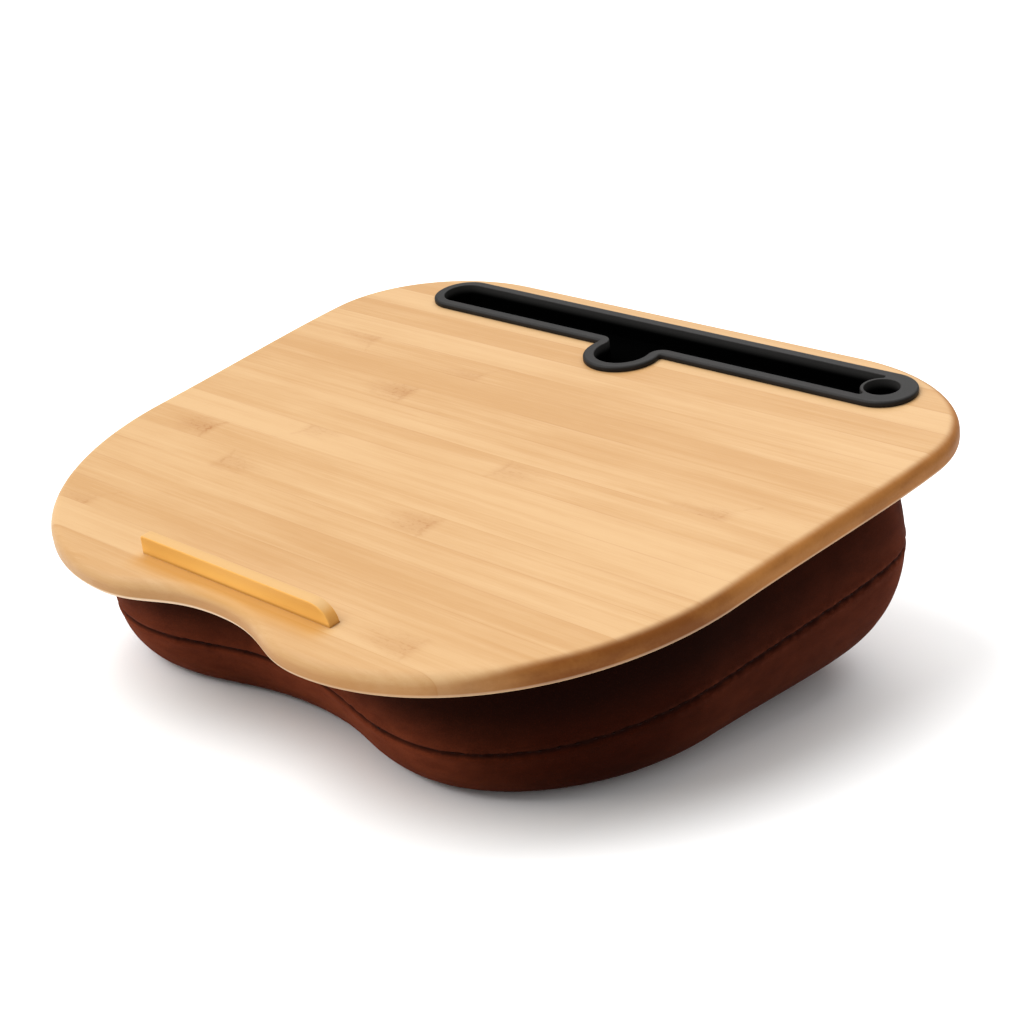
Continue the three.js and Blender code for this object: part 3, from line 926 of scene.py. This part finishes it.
def cushion_ring(turn, upper, shrink):
    """Points round the cushion, a quarter turn away from its seam at most."""
    x, y = cushion_plan[:, 0], cushion_plan[:, 1]
    tuck = TUCK_ABOVE if upper else TUCK_BELOW * (SEAM_Z - floor_z(y))
    drawn = shrink + tuck * (1 - math.cos(turn))
    x = x * (1 - (CUSHION_SIDE + drawn) / HALF_W)
    y = y * (1 - (np.where(y < 0, CUSHION_FRONT, CUSHION_BACK) + drawn) / HALF_D)
    limit = np.full_like(y, CUSHION_TOP) if upper else floor_z(y)
    return [leaning(*p) for p in zip(x, y, SEAM_Z + (limit - SEAM_Z) * math.sin(turn))]


def cushion_wedge(shrink):
    bm = bmesh.new()
    turns = np.linspace(0, math.pi / 2, 12)
    loops = [cushion_ring(t, True, shrink) for t in turns[::-1]]
    loops += [cushion_ring(t, False, shrink) for t in turns[1:]]
    rows = [[bm.verts.new(p) for p in loop] for loop in loops]
    walls(bm, rows)
    bm.faces.new(rows[0])
    bm.faces.new(rows[-1][::-1])
    bmesh.ops.recalc_face_normals(bm, faces=bm.faces[:])
    mesh = bpy.data.meshes.new("cushion_wedge")
    bm.to_mesh(mesh)
    bm.free()
    return mesh


wedge = cushion_wedge(-OVERSIZE)
print("cushion wedge", len(wedge.vertices), "points")


# %% Blow up the cushion
def with_modifier(mesh, kind, **settings):
    """Mesh that one modifier makes of a mesh."""
    holder = bpy.data.objects.new("holder", mesh)
    bpy.context.scene.collection.objects.link(holder)
    modifier = holder.modifiers.new(kind.lower(), kind)
    for key, value in settings.items():
        setattr(modifier, key, value)
    made = bpy.data.meshes.new_from_object(holder.evaluated_get(bpy.context.evaluated_depsgraph_get()))
    bpy.data.objects.remove(holder)
    return made


def points_of(mesh):
    flat = np.empty(len(mesh.vertices) * 3)
    mesh.vertices.foreach_get("co", flat)
    return flat.reshape(-1, 3)


def blown_up(mesh, frames, most):
    """Cloth under pressure, with each point held within most metres of where it began."""
    start = points_of(mesh)
    holder = bpy.data.objects.new("cloth_cushion", mesh)
    bpy.context.scene.collection.objects.link(holder)
    held = holder.vertex_groups.new(name="held")
    level = flat_from(start)[:, 2]
    pressed = (level > CUSHION_TOP - 2.0) | (start[:, 2] < 0.002)
    held.add(np.flatnonzero(pressed).tolist(), 1.0, "REPLACE")
    cloth = holder.modifiers.new("cloth", "CLOTH")
    cloth.settings.vertex_group_mass = "held"
    cloth.settings.use_pressure = True
    cloth.settings.uniform_pressure_force = 20.0
    cloth.settings.effector_weights.gravity = 0.0
    cloth.settings.tension_stiffness = 6.0
    cloth.settings.compression_stiffness = 6.0
    cloth.settings.bending_stiffness = 0.5
    cloth.collision_settings.use_collision = False
    cloth.point_cache.frame_start = 1
    cloth.point_cache.frame_end = frames
    for step in range(1, frames + 1):
        bpy.context.scene.frame_set(step)
    made = bpy.data.meshes.new_from_object(holder.evaluated_get(bpy.context.evaluated_depsgraph_get()))
    bpy.data.objects.remove(holder)
    bpy.context.scene.frame_set(1)
    move = points_of(made) - start
    length = np.linalg.norm(move, axis=1)[:, None]
    share = np.minimum(1, most / np.maximum(length, 1e-9))
    made.vertices.foreach_set("co", (start + move * share).ravel())
    most_mm, mean_mm = (round(float(v) * 1000, 1) for v in (length.max(), length.mean()))
    print("cushion swelled by up to", most_mm, "mm, on average", mean_mm)
    return made


soft = with_modifier(wedge, "REMESH", mode="VOXEL", voxel_size=0.005)
soft = blown_up(soft, frames=20, most=0.006)
soft = with_modifier(soft, "SUBSURF", levels=1, render_levels=1)
print("cushion mesh", len(soft.vertices), "points")

# %% [markdown]
# Gravity flattens the cushion where it meets the floor and the board. Its two halves meet in one
# seam all round, a fine groove with the fabric puffed a little on both sides. The remesh cannot
# hold so fine a line, so the mesh is cut along it afterwards and the cut is pressed in.

# %% Seat the cushion and press in its seam
SEAM_REACH = 7.0
GROOVE_DEPTH = 1.5
GROOVE_WIDTH = 0.9
PUFF = 0.5
PUFF_AWAY = 3.0
PUFF_WIDTH = 1.6
bm = bmesh.new()
bm.from_mesh(soft)
seam_normal = leaning(0, 0, 1) - leaning(0, 0, 0)
for offset in (-3.4, -1.8, -0.8, 0.0, 0.8, 1.8, 3.4):
    geometry = bm.verts[:] + bm.edges[:] + bm.faces[:]
    level = leaning(0, 0, SEAM_Z + offset)
    bmesh.ops.bisect_plane(bm, geom=geometry, dist=1e-6, plane_co=level, plane_no=seam_normal)
bm.normal_update()
flat = flat_from(np.array([v.co for v in bm.verts]))
for vert, (x, y, z) in zip(bm.verts, flat):
    away = abs(z - SEAM_Z)
    if away < SEAM_REACH:
        pucker = 1 + 0.12 * math.sin(x * 0.42 + y * 0.31) * math.sin(x * 0.17 - y * 0.23)
        groove = GROOVE_DEPTH * math.exp(-((away / GROOVE_WIDTH) ** 2)) * pucker
        puff = PUFF * math.exp(-(((away - PUFF_AWAY) / PUFF_WIDTH) ** 2))
        vert.co += vert.normal * (puff - groove) / 1000
flat = flat_from(np.array([v.co for v in bm.verts]))
for vert, (x, y, z) in zip(bm.verts, flat):
    if z > CUSHION_TOP:
        vert.co = leaning(x, y, CUSHION_TOP)
    vert.co.z = max(vert.co.z, 0.0002)
for face in bm.faces:
    face.smooth = True
surface = BVHTree.FromBMesh(bm)
cushion_nodes = ["cushion_cover_top", "cushion_cover_bottom", "cushion_filling"]
cushion = finished(bm, "wedge_cushion", suede, "desk", cushion_nodes)

# %% [markdown]
# The seam is closed with a lock stitch in thread of the cover's own brown, which shows only from
# close by. Stitches repeat along a path, so a tree of Geometry Nodes sets one short rounded bar
# at even steps. The path is found by looking from outside at the bottom of the groove.

# %% Thread finish
thread, shader, wire = new_finish("brown_thread")
place = board_place(wire)
twist = noise(place, scale=2400.0, detail=2.0)
tinted(srgb(18, 4, 1), srgb(32, 10, 4), twist.fade(0.3, 0.7)).feed(shader, "Base Color")
(0.75 + (twist - 0.5) * 0.3).feed(shader, "Roughness")
bumped(twist, shader, 0.4, 0.0001)
shader.inputs["Specular IOR Level"].default_value = 0.1
print("thread finish", thread.name)

# %% Seam stitches
stitch_sizes = {"Spacing": 0.0045, "Stitch length": 0.003, "Thickness": 0.0006}
tree, size = new_tree("seam_stitches", stitch_sizes)
path = size["Geometry"].node("GeometryNodeMeshToCurve", inputs={0: size["Geometry"]})
steps = {"Curve": path, "Length": size["Spacing"]}
path = path.node("GeometryNodeResampleCurve", {"mode": "LENGTH"}, steps)
bar = path.node("GeometryNodeMeshUVSphere", inputs={"Segments": 8, "Rings": 5, "Radius": 0.5})
along = path.node("GeometryNodeInputTangent")
turned = path.node("FunctionNodeAlignRotationToVector", {"axis": "X"}, {"Vector": along})
thick = joined(path, size["Stitch length"], size["Thickness"], size["Thickness"])
set_on = {"Points": path, "Instance": bar, "Rotation": turned, "Scale": thick}
end_tree(path.node("GeometryNodeInstanceOnPoints", inputs=set_on), thread)
print("stitch tree", len(tree.nodes), "nodes")

# %% Path of the seam
LOOK_FROM = -14.0
LOOK_TO = 30.0
seam_path = []
for start, end in zip(cushion_ring(0.0, True, LOOK_FROM), cushion_ring(0.0, True, LOOK_TO)):
    inward = (end - start).normalized()
    bottom = surface.ray_cast(start, inward)[0]
    if bottom is not None:
        seam_path.append(bottom + inward * 0.0001)
seam_edges = [(i, (i + 1) % len(seam_path)) for i in range(len(seam_path))]
stitch_mesh = grown(tree, seam_path, seam_edges, stitch_sizes)
stitch_mesh.shade_smooth()
placed(stitch_mesh, "seam_thread", "desk", [])

# %% [markdown]
# Four pairs of hook and loop tape hold the cushion under the board, so it can come off for the
# wash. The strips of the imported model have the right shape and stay. They only get their pile: a
# stiff stubble of hooks on the board's side and a soft tangle of loops on the cushion's.


# %% Hook and loop tapes
def pile_finish(name, low, high, grain, tangle, roughness):
    material, shader, wire = new_finish(name)
    place = board_place(wire)
    stubble = noise(place, scale=grain, detail=2.0)
    wave = noise(place, scale=tangle, detail=3.0, roughness=0.6)
    tinted(low, high, (stubble * 0.6 + wave * 0.4).fade(0.35, 0.65)).feed(shader, "Base Color")
    (roughness + (stubble - 0.5) * 0.2).feed(shader, "Roughness")
    bumped(stubble * 0.7 + wave * 0.5, shader, 0.6, 0.0004)
    shader.inputs["Specular IOR Level"].default_value = 0.15
    return material


piles = {
    "hook": pile_finish("hook_pile", srgb(11, 11, 11), srgb(31, 30, 29), 1400.0, 260.0, 0.55),
    "loop": pile_finish("loop_pile", srgb(14, 13, 13), srgb(37, 35, 34), 700.0, 420.0, 0.9),
}
tapes = sorted(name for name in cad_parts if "_tape_" in name)
for name in tapes:
    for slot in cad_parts[name].material_slots:
        slot.material = piles[name.split("_")[0]]
print("tapes", tapes)

# %% [markdown]
# The floor is a plain white sheet, large enough to fill the view from above. A curved backdrop
# would do too, but would throw light back at the board's far side.

# %% Floor
floor_finish, shader, wire = new_finish("white_floor")
here = wire.node("ShaderNodeTexCoord", output="Object")
mottle = noise(here, scale=3.0, detail=2.0)
tinted((0.9, 0.9, 0.9, 1.0), (0.91, 0.91, 0.91, 1.0), mottle).feed(shader, "Base Color")
shader.inputs["Roughness"].default_value = 0.8
shader.inputs["Specular IOR Level"].default_value = 0.1
bm = bmesh.new()
bmesh.ops.create_grid(bm, x_segments=8, y_segments=8, size=9.0)
floor_mesh = bpy.data.meshes.new("floor")
bm.to_mesh(floor_mesh)
bm.free()
floor_mesh.materials.append(floor_finish)
floor = bpy.data.objects.new("floor", floor_mesh)
bpy.context.scene.collection.objects.link(floor)
print("floor", len(floor_mesh.polygons), "faces")

# %% [markdown]
# Soft light comes from all round. Two wide far lights, one from the left of the front and one from
# behind, leave the soft shadow on the right and in front. Near panels would leave the floor grey in
# the distance, and a far light falls on all of it alike. What shows beyond the floor is white.

# %% Light
world = bpy.data.worlds.new("studio")
world.use_nodes = True
world.node_tree.nodes.clear()
sky = Wire(world.node_tree)
all_round = sky.node("ShaderNodeBackground", inputs={"Color": (1.0, 1.0, 1.0, 1.0), "Strength": 0.63})
backdrop = sky.node("ShaderNodeBackground", inputs={"Color": (1.0, 1.0, 1.0, 1.0), "Strength": 1.0})
seen = sky.node("ShaderNodeLightPath", output="Is Camera Ray")
mixed = sky.node("ShaderNodeMixShader", inputs={0: seen, 1: all_round, 2: backdrop})
mixed.feed(world.node_tree.nodes.new("ShaderNodeOutputWorld"), "Surface")
bpy.context.scene.world = world


def far_light(name, direction, spread, strength):
    data = bpy.data.lights.new(name, "SUN")
    data.angle = math.radians(spread)
    data.energy = strength
    lamp = bpy.data.objects.new(name, data)
    lamp.rotation_euler = (-Vector(direction)).to_track_quat("-Z", "Y").to_euler()
    bpy.context.scene.collection.objects.link(lamp)
    print(name, "strength", strength, "spread", spread, "degrees")


far_light("wide_front_light", (-0.55, -0.55, 1.0), 55.0, 3.3)
far_light("wide_back_light", (-0.25, 0.57, 1.0), 60.0, 1.92)
